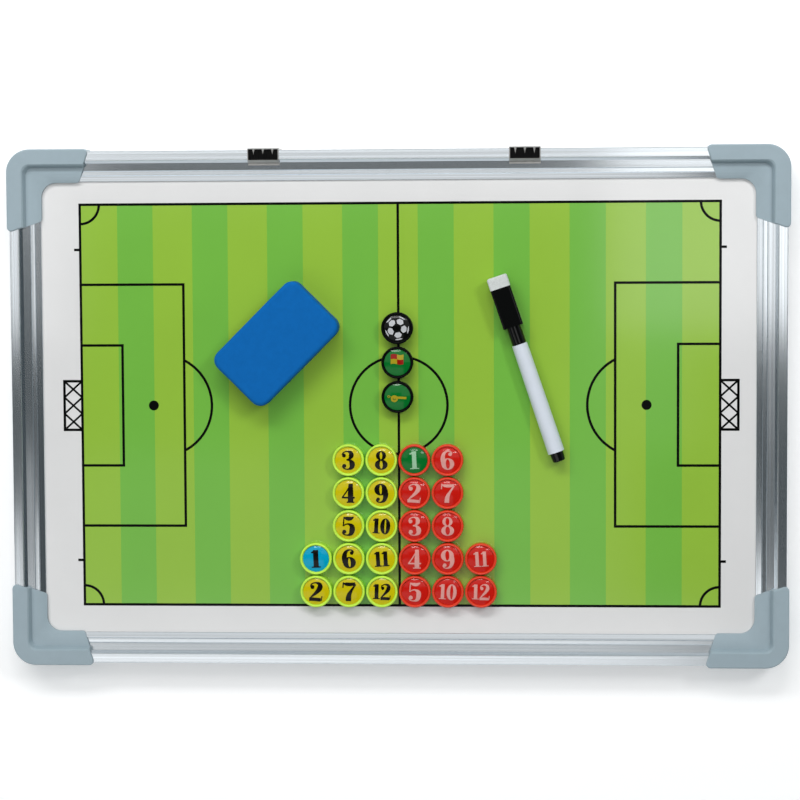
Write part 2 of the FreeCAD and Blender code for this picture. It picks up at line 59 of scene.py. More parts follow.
# Studio: floor, surroundings and lights as (name, left, right, low, high, brightness). Softboxes, and keys
# that give the shadows, hang at one height. Others hang a little lower, and only some pieces receive them.
floor_size = 24000.0
floor_glow = 0.25
surroundings_blue = (0.82, 0.94, 1.0)
horizon_brightness = 0.5
zenith_brightness = 0.08
fade_shares = (0.12, 0.5)
light_height = 1450.0
light_drop = 20.0
power_share = 4.0
softboxes = (
    ("corner_box", 150.0, 720.0, -10.0, 600.0, 0.93),
    ("top_bank", -1500.0, 140.0, 165.0, 600.0, 0.85),
    ("far_bank", -1500.0, 1500.0, 610.0, 2200.0, 0.5),
    ("right_box", 110.0, 260.0, -140.0, -15.0, 0.18),
    ("low_strip", -470.0, 180.0, -335.0, -150.0, 0.2),
    ("left_box", -1500.0, -480.0, -20.0, 160.0, 0.8),
    ("left_low_box", -800.0, -480.0, -340.0, -230.0, 0.6),
    ("low_box", -1500.0, 290.0, -760.0, -345.0, 0.92),
    ("low_bank", -1500.0, 290.0, -2200.0, -770.0, 0.55),
)
keys = (
    ("left_key", -1350.0, 350.0, 1150.0, 1650.0, 8.2),
    ("right_key", 850.0, 1250.0, 550.0, 1050.0, 14.0),
)
rail_lights = (
    ("rail_box", -1500.0, 290.0, -340.0, -250.0, 0.35),
)
symbol_glints = (
    ("left_glint", -500.0, 100.0, 640.0, 690.0, 22.0),
    ("right_glint", 440.0, 600.0, 520.0, 580.0, 22.0),
)
number_glints = (
    ("top_glint", -280.0, 130.0, 430.0, 475.0, 22.0),
    ("side_glint", 330.0, 520.0, 290.0, 330.0, 22.0),
)

# Fineness of the meshes, and the angles in degrees above which edges stay crisp
circle_steps = 48
dot_steps = 24
arc_steps = 40
centre_circle_steps = 120
lathe_steps = 96
rim_steps = 10
dome_steps = 14
pen_steps = 7
ball_patch_steps = 6
flag_steps = 6
loft_steps = 8
eraser_side_steps = 5
hard_edge_angle = 35.0
soft_edge_angle = 60.0

# Pitch print on the panel; the areas and the goal are given by depth and width
pitch_length = 369.4
pitch_width = 233.2
pitch_x = 1.0
pitch_y = 1.4
dark_stripe_count = 8
dark_stripe_width = 20.7
stripe_step = 43.6
line_width = 1.48
net_line_width = 1.12
stripe_thickness = 0.03
line_thickness = 0.06
layer_step = 0.0005
penalty_area = (60.0, 140.5)
goal_area = (24.0, 70.0)
spot_reach = 42.0
spot_radius = 2.9
penalty_arc_reach = 46.5
penalty_arc_radius = 29.5
centre_circle_radius = 28.2
corner_arc_radius = 11.2
goal_depth = 10.4
goal_width = 28.4
goal_cross_count = 3
tick_length = 3.6
tick_reach = 90.5

# Discs: cup profile, card, dome and print; each is turned by a few degrees of its own
disc_radius = 9.2
disc_height = 7.0
disc_foot_chamfer = 0.4
disc_rim_width = 1.45
disc_rim_rise = 0.8
disc_wall_draft = 0.15
magnet_radius = 6.5
magnet_groove_width = 0.1
magnet_groove_depth = 0.4
card_radius = 7.55
card_groove_height = 5.8
dome_edge_height = 6.0
dome_rise = 1.0
print_depth = 0.15
print_thickness = 0.14
digit_height = 11.0
pair_digit_height = 9.3
pair_stretch_share = 0.9
pair_gap = 0.3
disc_turn = 3.5
disc_turn_step = 2.4
keeper_number = 1

# Teams: card, keeper's card, digits, keeper's digits, and the share that scales the width of the digits' pen
teams = {
    "yellow": ("card_yellow", "card_blue", "digit_black", "digit_black", 1.18),
    "red": ("card_red", "card_green", "digit_pale", "digit_mint", 1.0),
}

# Places of a disc's materials
CUP, FACE, MAGNET, INK = range(4)

# Pen strokes of the digits as shares of a digit's height: rings are (x, y, half width, half height, side
# and end thickness), balls (x, y, radius), and strokes run through points of (x, y, width)
digit_ring_shares = {
    "0": [(0, 0.5, 0.345, 0.5, 0.24, 0.05)],
    "6": [(0.015, 0.305, 0.335, 0.305, 0.23, 0.05)],
    "8": [(0, 0.745, 0.265, 0.245, 0.165, 0.045), (0, 0.27, 0.335, 0.27, 0.215, 0.05)],
}
digit_ball_shares = {
    "2": [(-0.19, 0.735, 0.105)],
    "3": [(-0.19, 0.765, 0.1), (-0.205, 0.215, 0.105)],
    "5": [(-0.19, 0.2, 0.105)],
    "6": [(0.165, 0.81, 0.095)],
}
digit_stroke_shares = {
    "1": [
        [(0.03, 0.04, 0.32), (0.03, 0.09, 0.27), (0.03, 0.16, 0.23), (0.03, 0.6, 0.23), (0.03, 0.97, 0.23)],
        [(-0.21, 0.065, 0.05), (0.27, 0.065, 0.05)],
        [(-0.21, 0.84, 0.05), (-0.1, 0.87, 0.09), (0, 0.94, 0.06)],
    ],
    "2": [
        [(-0.29, 0.745, 0.06), (-0.25, 0.885, 0.055), (-0.04, 0.972, 0.06), (0.17, 0.9, 0.17),
         (0.2, 0.72, 0.235), (0.06, 0.5, 0.17), (-0.17, 0.27, 0.09), (-0.31, 0.12, 0.05)],
        [(-0.335, 0.08, 0.16), (-0.06, 0.09, 0.16), (0.27, 0.08, 0.16)],
        [(0.3, 0.02, 0.05), (0.335, 0.28, 0.045)],
    ],
    "3": [
        [(-0.285, 0.79, 0.055), (-0.21, 0.915, 0.055), (-0.01, 0.973, 0.055), (0.17, 0.885, 0.17),
         (0.185, 0.72, 0.215), (0.075, 0.575, 0.09), (-0.075, 0.535, 0.05)],
        [(-0.075, 0.535, 0.05), (0.1, 0.5, 0.11), (0.21, 0.33, 0.24), (0.185, 0.14, 0.2),
         (0, 0.027, 0.06), (-0.21, 0.075, 0.055), (-0.31, 0.2, 0.055)],
    ],
    "4": [
        [(0.1, 0, 0.24), (0.1, 0.5, 0.24), (0.1, 1, 0.19)],
        [(0.12, 0.98, 0.055), (-0.11, 0.6, 0.06), (-0.335, 0.275, 0.06)],
        [(-0.36, 0.27, 0.075), (0.32, 0.27, 0.075)],
        [(-0.1, 0.027, 0.055), (0.3, 0.027, 0.055)],
    ],
    "5": [
        [(-0.21, 0.95, 0.07), (-0.06, 0.9, 0.16), (0.12, 0.9, 0.16), (0.28, 0.985, 0.05)],
        [(-0.225, 0.985, 0.055), (-0.25, 0.5, 0.055)],
        [(-0.25, 0.505, 0.05), (-0.14, 0.585, 0.055), (0.03, 0.615, 0.075), (0.2, 0.5, 0.21),
         (0.22, 0.3, 0.24), (0.15, 0.1, 0.18), (-0.02, 0.025, 0.06), (-0.21, 0.06, 0.055),
         (-0.29, 0.18, 0.055)],
    ],
    "6": [
        [(0.26, 0.82, 0.05), (0.21, 0.93, 0.055), (0.05, 0.975, 0.06), (-0.14, 0.88, 0.15),
         (-0.235, 0.62, 0.225), (-0.21, 0.32, 0.23)],
    ],
    "7": [
        [(-0.3, 0.92, 0.06), (-0.12, 0.895, 0.15), (0.1, 0.9, 0.15), (0.32, 0.93, 0.14)],
        [(-0.31, 0.985, 0.05), (-0.32, 0.7, 0.055)],
        [(0.335, 0.9, 0.07), (0.16, 0.62, 0.11), (0.03, 0.35, 0.2), (0, 0.14, 0.24), (0, 0, 0.24)],
    ],
}

# Symbols of the three dark discs: football, quartered flag and whistle
ball_radius = 6.9
ball_turn = 63.0
ball_sides = 5
ball_patch_share = 0.76
flag_length = 7.4
flag_height = 5.6
flag_rise = 1.9
flag_wave = 0.35
whistle_body_radius = 2.0
whistle_body_place = (-1.7, -0.9)
whistle_hole_radius = 0.9
whistle_pea_radius = 0.45
whistle_mouth_start = (-0.6, 0.05)
whistle_mouth_end = (5.2, -0.55)
whistle_mouth_width = 1.3
whistle_ring_place = (-5.0, 0.3)
whistle_ring_radius = 0.75
whistle_ring_width = 0.35

# Eraser: foam block over a felt pad, whose sides are given as (share of the inset, height)
eraser_length = 67.4
eraser_width = 41.0
eraser_turn = 45.0
eraser_corner_radius = 6.3
eraser_felt_height = 3.0
eraser_felt_inset = 0.5
eraser_felt_levels = ((1.0, 0.0), (0.5, 0.5), (1.0, 1.0), (0.6, 1.8), (1.0, eraser_felt_height))
eraser_foam_height = 14.0
eraser_top_round = 2.2
eraser_foot_round = 0.7
eraser_foot_share = 0.3
eraser_crown = 0.25
eraser_side_sag = 0.35
eraser_unevenness = 0.12
eraser_unevenness_size = 9.0
unevenness_seed = 5

# Marker: where it lies, and the felt on its cap's end
marker_place = (75.7, 22.5)
marker_turn = 108.66
marker_length = 112.0
felt_length = 7.0
felt_width = 11.8
felt_height = 11.4
felt_edge_round = 1.1
felt_side_shares = (0.0, 0.3, 0.6)
felt_end_shares = (0.2, 0.3, 0.4)
felt_fuzz = 0.1
felt_fuzz_size = 1.4

# Surfaces. Colours are linear red, green and blue. A mottle is (cell size, share by which colour and
# roughness vary) and a grain is (cell size, depth).
noise_range = (0.3, 0.7)
noise_roughness = 0.6
mottle_detail = 4.0
grain_detail = 3.0

# Print and enamel under a clear gloss: colour, gloss and, for the digits, their own roughness and mottle
sheet_roughness = 0.3
sheet_mottle = (45.0, 0.02)
sheet_grain = (2.5, 0.002)
coat_roughness = 0.1
coat_ior = 1.8
sheets = {
    "white_enamel": ((0.785, 0.78, 0.775), 1.0),
    "light_green_ink": ((0.30, 0.53, 0.046), 1.0),
    "dark_green_ink": ((0.175, 0.49, 0.056), 1.0),
    "line_ink": ((0.003, 0.0035, 0.003), 0.1),
    "card_yellow": ((0.60, 0.50, 0.002), 0.2),
    "card_blue": ((0.0, 0.35, 0.57), 0.2),
    "card_red": ((0.56, 0.010, 0.005), 0.2),
    "card_green": ((0.001, 0.15, 0.02), 0.2),
    "card_black": ((0.002, 0.0025, 0.002), 0.15),
    "digit_black": ((0.006, 0.005, 0.003), 0.15, 0.5, (2.0, 0.1)),
    "digit_pale": ((0.70, 0.325, 0.29), 0.2, 0.4, (2.0, 0.06)),
    "digit_mint": ((0.31, 0.53, 0.34), 0.2, 0.4, (2.0, 0.06)),
    "symbol_white": ((0.52, 0.53, 0.55), 0.3),
    "symbol_red": ((0.28, 0.008, 0.003), 0.2),
    "symbol_yellow": ((0.38, 0.30, 0.015), 0.2),
}

# Plastics, rubber and foam: colour, roughness, mottle, grain and strength of the gloss
disc_mottle = (8.0, 0.04)
disc_grain = (0.4, 0.004)
plastics = {
    "fibre_core": ((0.42, 0.30, 0.19), 0.8, (2.0, 0.2), (0.6, 0.05), 0.5),
    "grey_plastic": ((0.335, 0.42, 0.465), 0.42, (10.0, 0.03), (0.35, 0.012), 0.5),
    "black_rubber": ((0.004, 0.004, 0.004), 0.6, (1.5, 0.2), (0.2, 0.015), 0.1),
    "black_plastic": ((0.002, 0.0022, 0.002), 0.09, (6.0, 0.1), (0.8, 0.0005), 0.3),
    "white_plastic": ((0.68, 0.73, 0.80), 0.45, (10.0, 0.02), (1.5, 0.002), 0.5),
    "magnet": ((0.035, 0.035, 0.038), 0.55, (1.0, 0.2), (0.2, 0.01), 0.5),
    "yellow_plastic": ((0.58, 0.92, 0.075), 0.3, disc_mottle, disc_grain, 0.5),
    "red_plastic": ((0.78, 0.045, 0.012), 0.3, disc_mottle, disc_grain, 0.5),
    "disc_black": ((0.002, 0.0025, 0.002), 0.25, disc_mottle, disc_grain, 0.08),
    "blue_foam": ((0.003, 0.127, 0.425), 0.6, (3.0, 0.05), (0.5, 0.03), 0.1),
}

# Metals: colour, roughness, mottle and grain
metals = {
    "zinc_back": ((0.62, 0.64, 0.66), 0.42, (9.0, 0.14), (1.2, 0.004)),
    "screw_steel": ((0.6, 0.6, 0.61), 0.3, (0.8, 0.1), (0.2, 0.003)),
    "clip_steel": ((0.46, 0.455, 0.44), 0.34, (5.0, 0.1), (0.4, 0.003)),
}

# Rail aluminium: axis along the rail and roughness
aluminium_colour = (0.80, 0.845, 0.88)
aluminium_mottle = (1.1, 0.12)
aluminium_grain = (0.5, 0.0008)
aluminium_streak_stretch = 400
aluminium_spread_share = 0.5
rails = {
    "aluminium_bright": (0, 0.15),
    "aluminium_dull": (0, 0.22),
    "aluminium_sides": (1, 0.15),
}

# Felts: colour
felt_roughness = 0.95
felt_mottle = (0.9, 0.10)
felt_grain = (0.25, 0.12)
felt_sheen = 0.4
felt_sheen_roughness = 0.6
felts = {
    "ink_fibre": (0.02, 0.02, 0.024),
    "grey_felt": (0.24, 0.24, 0.25),
    "white_felt": (0.62, 0.65, 0.63),
}

# Floor: colour, roughness, mottle and grain
floor_finish = ((0.93, 0.93, 0.93), 0.9, (300.0, 0.01), (4.0, 0.002))

# CAD pieces that keep their shape, by surface
painted = {
    "white_enamel": ["printed_panel"],
    "fibre_core": ["board_core"],
    "zinc_back": ["back_sheet"],
    "aluminium_bright": ["top_rail"],
    "aluminium_dull": ["bottom_rail"],
    "aluminium_sides": ["left_rail", "right_rail"],
    "grey_plastic": ["corner_cap_top_left", "corner_cap_top_right",
                     "corner_cap_bottom_left", "corner_cap_bottom_right"],
    "screw_steel": ["corner_screws"],
    "clip_steel": ["hanger_clip_left", "hanger_clip_right"],
    "black_rubber": ["hanger_pad_left", "hanger_pad_right"],
    "white_plastic": ["marker_barrel"],
    "black_plastic": ["marker_cap", "marker_tail_plug", "marker_nib_holder"],
    "ink_fibre": ["marker_ink_core", "marker_nib"],
    "magnet": ["marker_cap_magnet", "eraser_magnet"],
}


class Form:
    """Closed shells in millimetres that become one piece; each face keeps the number of its material."""

    def __init__(self):
        self.points = []
        self.faces = []
        self.paints = []

    def add(self, points, faces, paints):
        first = len(self.points)
        self.points += [Vector(point) for point in points]
        self.faces += [[first + index for index in face] for face in faces]
        self.paints += paints

    def slab(self, outline, low, high, paint=0):
        """Plate over a flat outline."""
        count = len(outline)
        points = [(x, y, z) for z in (low, high) for x, y in outline]
        faces = [list(range(count)), list(range(count, 2 * count))]
        for index in range(count):
            after = (index + 1) % count
            faces.append([index, after, count + after, count + index])
        self.add(points, faces, [paint] * len(faces))

    def band(self, left, right, low, high, paint=0, closed=False):
        """Strip between two lines of points, or a ring where the lines are closed."""
        count = len(left)
        points = [(x, y, z) for z in (low, high) for line in (left, right) for x, y in line]
        faces = []
        for index in range(count if closed else count - 1):
            after = (index + 1) % count
            for first, second in ((0, 1), (2, 3), (0, 2), (1, 3)):
                start = first * count
                end = second * count
                faces.append([start + index, start + after, end + after, end + index])
        if not closed:
            for index in (0, count - 1):
                faces.append([index, count + index, 3 * count + index, 2 * count + index])
        self.add(points, faces, [paint] * len(faces))

    def lathe(self, profile):
        """Solid of revolution from (radius, height, paint) points that start and end on the axis."""
        points = []
        rings = []
        for radius, height, _ in profile:
            count = lathe_steps if radius else 1
            rings.append([len(points) + step for step in range(count)])
            for step in range(count):
                angle = FULL_TURN * step / lathe_steps
                points.append((radius * math.cos(angle), radius * math.sin(angle), height))
        faces = []
        paints = []
        for (_, _, paint), ring, above in zip(profile, rings, rings[1:]):
            for step in range(lathe_steps):
                after = (step + 1) % lathe_steps
                corners = [ring[step % len(ring)], ring[after % len(ring)]]
                corners += [above[after % len(above)], above[step % len(above)]]
                faces.append(list(dict.fromkeys(corners)))
                paints.append(paint)
        self.add(points, faces, paints)

    def loft(self, rings):
        """Solid through rings of equally many points, closed flat at both ends."""
        count = len(rings[0])
        points = [point for ring in rings for point in ring]
        last = len(points) - count
        faces = [list(range(count)), list(range(last, last + count))]
        for first in range(0, last, count):
            for index in range(count):
                after = (index + 1) % count
                faces.append([first + index, first + after, first + count + after, first + count + index])
        self.add(points, faces, [0] * len(faces))

    def drape(self, first, surface):
        """Lifts the points from the first one on by a surface's height at their distance from Z."""
        for point in self.points[first:]:
            point.z += surface(math.hypot(point.x, point.y))

    def place(self, turn, x, y, z):
        """Turns all the shells about Z, in degrees, and then moves them."""
        matrix = Matrix.Translation((x, y, z)) @ Matrix.Rotation(math.radians(turn), 4, "Z")
        self.points = [matrix @ point for point in self.points]

    def piece(self, name, body, materials, slot=None, sharp=hard_edge_angle):
        """Object that rides on a body; edges sharper than an angle in degrees stay crisp."""
        mesh = bpy.data.meshes.new(name)
        mesh.from_pydata([point * MM for point in self.points], [], self.faces)
        for material in materials:
            mesh.materials.append(material)
        mesh.polygons.foreach_set("material_index", self.paints)
        work = bmesh.new()
        work.from_mesh(mesh)
        bmesh.ops.recalc_face_normals(work, faces=work.faces)
        work.to_mesh(mesh)
        work.free()
        mesh.shade_smooth()
        mesh.set_sharp_from_angle(angle=math.radians(sharp))
        piece = bpy.data.objects.new(name, mesh)
        bpy.context.scene.collection.objects.link(piece)
        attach(piece, body)
        return piece


# Flat shapes: each is a pair of lines for a band, or one outline for a slab
def circle(x, y, radius, steps=circle_steps):
    angles = [FULL_TURN * step / steps for step in range(steps)]
    return [(x + radius * math.cos(angle), y + radius * math.sin(angle)) for angle in angles]


def ellipse(x, y, half_width, half_height):
    return [(x + half_width * px, y + half_height * py) for px, py in circle(0, 0, 1)]


def smooth(points, steps):
    """Points of a curve that runs through all the given points."""
    knots = [Vector(point) for point in points]
    knots = [2 * knots[0] - knots[1]] + knots + [2 * knots[-1] - knots[-2]]
    curve = []
    for before, start, end, after in zip(knots, knots[1:], knots[2:], knots[3:]):
        for step in range(steps):
            t = step / steps
            bend = (2 * before - 5 * start + 4 * end - after) * t ** 2
            twist = (3 * start - before - 3 * end + after) * t ** 3
            curve.append((2 * start + (end - before) * t + bend + twist) / 2)
    return curve + [knots[-2]]


def stroke(points, steps=pen_steps):
    """Left and right lines of a pen stroke through (x, y, width) points."""
    curve = smooth(points, steps)
    left = []
    right = []
    for index, point in enumerate(curve):
        ahead = curve[min(index + 1, len(curve) - 1)]
        behind = curve[max(index - 1, 0)]
        along = Vector((ahead.x - behind.x, ahead.y - behind.y)).normalized()
        side = Vector((-along.y, along.x)) * (point.z / 2)
        left.append((point.x + side.x, point.y + side.y))
        right.append((point.x - side.x, point.y - side.y))
    return left, right


def bar(start, end, width):
    return stroke([(*start, width), (*end, width)], 1)


def arc(x, y, radius, width, start, end, steps=arc_steps):
    """Left and right lines of an arc between two angles."""
    angles = [start + (end - start) * step / steps for step in range(steps + 1)]
    lines = []
    for reach in (radius - width / 2, radius + width / 2):
        lines.append([(x + reach * math.cos(angle), y + reach * math.sin(angle)) for angle in angles])
    return lines


def rectangle(x, y, length, width):
    left, right = x - length / 2, x + length / 2
    low, high = y - width / 2, y + width / 2
    return [(left, low), (right, low), (right, high), (left, high)]


def rounded_rectangle(length, width, radius):
    """Outline about the origin, with points along its straight sides too."""
    outline = []
    for index, (sign_x, sign_y) in enumerate(((1, 1), (-1, 1), (-1, -1), (1, -1))):
        x = sign_x * (length / 2 - radius)
        y = sign_y * (width / 2 - radius)
        for step in range(loft_steps + 1):
            angle = (index + step / loft_steps) * QUARTER_TURN
            outline.append((x + radius * math.cos(angle), y + radius * math.sin(angle)))
    spacing = length / (2 * loft_steps)
    edge_points = []
    for start, end in zip(outline, outline[1:] + outline[:1]):
        count = max(1, round(math.dist(start, end) / spacing))
        for step in range(count):
            share = step / count
            x = start[0] + (end[0] - start[0]) * share
            y = start[1] + (end[1] - start[1]) * share
            edge_points.append((x, y))
    return edge_points


# Materials: colour and roughness are mottled by one noise, and a finer one gives the relief
def node(material, kind, **values):
    made = material.node_tree.nodes.new(kind)
    for name, value in values.items():
        made.inputs[name].default_value = value
    return made


def noise_in(material, size, detail, stretch):
    """Noise in the object's own space; its cells have a size, drawn out by a stretch per axis."""
    links = material.node_tree.links
    place = node(material, "ShaderNodeTexCoord")
    scale = Vector([1 / (size * MM * factor) for factor in stretch])
    mapping = node(material, "ShaderNodeMapping", Scale=scale)
    texture = node(material, "ShaderNodeTexNoise", Scale=1.0, Detail=detail, Roughness=noise_roughness)
    links.new(place.outputs["Object"], mapping.inputs["Vector"])
    links.new(mapping.outputs["Vector"], texture.inputs["Vector"])
    return texture.outputs["Fac"]


def ranged(material, value, low, high):
    """Value of a noise spread from low to high."""
    made = node(material, "ShaderNodeMapRange")
    made.inputs["From Min"].default_value = noise_range[0]
    made.inputs["From Max"].default_value = noise_range[1]
    made.inputs["To Min"].default_value = low
    made.inputs["To Max"].default_value = high
    material.node_tree.links.new(value, made.inputs["Value"])
    return made.outputs["Result"]


def finish(name, colour, roughness, mottle, grain, stretch=(1, 1, 1)):
    """Material and its shader."""
    material = bpy.data.materials.new(name)
    material.use_nodes = True
    links = material.node_tree.links
    shader = material.node_tree.nodes["Principled BSDF"]
    mottle_size, mottle_share = mottle
    mottling = noise_in(material, mottle_size, mottle_detail, stretch)
    mix = node(material, "ShaderNodeMix")
    mix.data_type = "RGBA"
    colours = [socket for socket in mix.inputs if socket.type == "RGBA"]
    colours[0].default_value = (*[channel * (1 - mottle_share) for channel in colour], 1)
    colours[1].default_value = (*[min(1.0, channel * (1 + mottle_share)) for channel in colour], 1)
    links.new(ranged(material, mottling, 0, 1), mix.inputs[0])
    mixed = [socket for socket in mix.outputs if socket.type == "RGBA"][0]
    links.new(mixed, shader.inputs["Base Color"])
    rough = ranged(material, mottling, roughness * (1 + mottle_share), roughness * (1 - mottle_share))
    links.new(rough, shader.inputs["Roughness"])
    grain_size, grain_depth = grain
    relief = node(material, "ShaderNodeBump", Strength=1.0, Distance=grain_depth * MM)
    links.new(noise_in(material, grain_size, grain_detail, stretch), relief.inputs["Height"])
    links.new(relief.outputs["Normal"], shader.inputs["Normal"])
    return material, shader


def coated(name, colour, gloss, roughness=sheet_roughness, mottle=sheet_mottle):
    """Printed or painted sheet under a clear gloss."""
    material, shader = finish(name, colour, roughness, mottle, sheet_grain)
    shader.inputs["Specular IOR Level"].default_value = 0.0
    shader.inputs["Coat Weight"].default_value = gloss
    shader.inputs["Coat Roughness"].default_value = coat_roughness
    shader.inputs["Coat IOR"].default_value = coat_ior
    return material


def plastic(name, colour, roughness, mottle, grain, gloss):
    material, shader = finish(name, colour, roughness, mottle, grain)
    shader.inputs["Specular IOR Level"].default_value = gloss
    return material


def metal(name, colour, roughness, mottle, grain):
    material, shader = finish(name, colour, roughness, mottle, grain)
    shader.inputs["Metallic"].default_value = 1.0
    return material


def aluminium(name, along, roughness):
    """Extruded rail: streaks run along it, and reflections spread across it."""
    stretch = [aluminium_streak_stretch if axis == along else 1 for axis in range(3)]
    material, shader = finish(name, aluminium_colour, roughness, aluminium_mottle, aluminium_grain, stretch)
    shader.inputs["Metallic"].default_value = 1.0
    shader.inputs["Anisotropic"].default_value = aluminium_spread_share
    across = node(material, "ShaderNodeCombineXYZ", X=float(along == 1), Y=float(along == 0))
    material.node_tree.links.new(across.outputs["Vector"], shader.inputs["Tangent"])
    return material


def felt(name, colour):
    material, shader = finish(name, colour, felt_roughness, felt_mottle, felt_grain)
    shader.inputs["Sheen Weight"].default_value = felt_sheen
    shader.inputs["Sheen Roughness"].default_value = felt_sheen_roughness
    return material


def make_looks():
    """All the materials of the pieces by name."""
    made = {name: felt(name, colour) for name, colour in felts.items()}
    for maker, table in ((coated, sheets), (plastic, plastics), (metal, metals), (aluminium, rails)):
        for name, values in table.items():
            made[name] = maker(name, *values)
    return made


def paint_nodes():
    """Gives the CAD pieces that keep their shape their materials."""
    for look, names in painted.items():
        for name in names:
            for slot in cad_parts[name].material_slots:
                slot.material = looks[look]


# Pitch print
def add_stripes(face):
    """Dark stripes spread evenly about the middle of the pitch, and light ones in all the gaps."""
    first = pitch_x - ((dark_stripe_count - 1) * stripe_step + dark_stripe_width) / 2
    edges = [pitch_x - pitch_length / 2]
    for index in range(dark_stripe_count):
        start = first + index * stripe_step
        edges += [start, start + dark_stripe_width]
    edges.append(pitch_x + pitch_length / 2)
    light = Form()
    dark = Form()
    for index, (left, right) in enumerate(zip(edges, edges[1:])):
        outline = rectangle((left + right) / 2, pitch_y, right - left, pitch_width)
        form = dark if index % 2 else light
        form.slab(outline, face, face + stripe_thickness)
    light.piece("pitch_light_stripes", "board", [looks["light_green_ink"]], "white_enamel")
    dark.piece("pitch_dark_stripes", "board", [looks["dark_green_ink"]], "white_enamel")


def box_lines(x, y, length, width):
    """Four bars round a rectangle, by its middle and size; two of them reach over the corners."""
    left = x - length / 2
    right = x + length / 2
    low = y - width / 2
    high = y + width / 2
    reach = line_width / 2
    lines = [bar((left - reach, level), (right + reach, level), line_width) for level in (low, high)]
    lines += [bar((level, low), (level, high), line_width) for level in (left, right)]
    return lines


def end_lines(side):
    """Markings at one goal line: areas, penalty arc, goal with its net, corner arcs and ticks."""
    goal_x = pitch_x + side * pitch_length / 2
    lines = []
    for depth, width in (penalty_area, goal_area):
        lines += box_lines(goal_x - side * depth / 2, pitch_y, depth, width)
    inward = 0 if side < 0 else HALF_TURN
    meeting = math.acos((penalty_area[0] - penalty_arc_reach) / penalty_arc_radius)
    arc_x = goal_x - side * penalty_arc_reach
    lines.append(arc(arc_x, pitch_y, penalty_arc_radius, line_width, inward - meeting, inward + meeting))
    net_x = goal_x + side * goal_depth / 2
    lines += box_lines(net_x, pitch_y, goal_depth, goal_width)
    mesh_height = goal_width / goal_cross_count
    for index in range(goal_cross_count):
        mesh_y = pitch_y - goal_width / 2 + (index + 0.5) * mesh_height
        corners = rectangle(net_x, mesh_y, goal_depth, mesh_height)
        for start, end in zip(corners[:2], corners[2:]):
            lines.append(bar(start, end, net_line_width))
    for across in (-1, 1):
        corner_y = pitch_y + across * pitch_width / 2
        start = math.atan2(-across, -side) - QUARTER_TURN / 2
        lines.append(arc(goal_x, corner_y, corner_arc_radius, line_width, start, start + QUARTER_TURN))
        tick_y = pitch_y + across * tick_reach
        lines.append(bar((goal_x, tick_y), (goal_x + side * tick_length, tick_y), line_width))
    return lines


def add_lines(face):
    """All the lines and spots; each line is a hair thicker than the one before, so that none share a face."""
    lines = box_lines(pitch_x, pitch_y, pitch_length, pitch_width)
    half = pitch_width / 2
    lines.append(bar((pitch_x, pitch_y - half), (pitch_x, pitch_y + half), line_width))
    lines.append(arc(pitch_x, pitch_y, centre_circle_radius, line_width, 0, FULL_TURN, centre_circle_steps))
    lines += end_lines(-1) + end_lines(1)
    form = Form()
    for index, (left, right) in enumerate(lines):
        form.band(left, right, face, face + line_thickness + index * layer_step)
    for side in (-1, 1):
        spot_x = pitch_x + side * (pitch_length / 2 - spot_reach)
        form.slab(circle(spot_x, pitch_y, spot_radius), face, face + line_thickness)
    form.piece("pitch_lines", "board", [looks["line_ink"]], "white_enamel")


# Discs
def digit_shapes(digit, weight):
    """Bands as (left, right, closed) and slabs as outlines, in shares of the digit's height."""
    if digit == "9":
        bands, slabs = digit_shapes("6", weight)
        turned = [([(-x, 1 - y) for x, y in left], [(-x, 1 - y) for x, y in right], closed)
                  for left, right, closed in bands]
        return turned, [[(-x, 1 - y) for x, y in outline] for outline in slabs]
    bands = []
    for x, y, half_width, half_height, side, end in digit_ring_shares.get(digit, []):
        outer = ellipse(x, y, half_width, half_height)
        inner = ellipse(x, y, half_width - side * weight, half_height - end * weight)
        bands.append((outer, inner, True))
    for points in digit_stroke_shares.get(digit, []):
        heavy = [(x, y, width * weight) for x, y, width in points]
        bands.append((*stroke(heavy), False))
    slabs = [circle(*ball_share, dot_steps) for ball_share in digit_ball_shares.get(digit, [])]
    return bands, slabs


def reach_of(digit, weight):
    """Leftmost and rightmost share of a digit's shapes."""
    bands, slabs = digit_shapes(digit, weight)
    reaches = [x for left, right, _ in bands for x, _ in left + right]
    reaches += [x for outline in slabs for x, _ in outline]
    return min(reaches), max(reaches)


def print_number(form, number, weight, low, high, paint):
    """Number centred on the card, as thin plates of ink."""
    single = len(number) == 1
    height = digit_height if single else pair_digit_height
    width = height if single else height * pair_stretch_share
    spans = [reach_of(digit, weight) for digit in number]
    total = sum(end - start for start, end in spans) * width + (len(number) - 1) * pair_gap
    pen_x = -total / 2
    layer = 0
    for digit, (start, end) in zip(number, spans):
        bands, slabs = digit_shapes(digit, weight)

        def put(line):
            return [(pen_x + (x - start) * width, (y - 0.5) * height) for x, y in line]

        for left, right, closed in bands:
            layer += layer_step
            form.band(put(left), put(right), low, high + layer, paint, closed)
        for outline in slabs:
            layer += layer_step
            form.slab(put(outline), low, high + layer, paint)
        pen_x += (end - start) * width + pair_gap


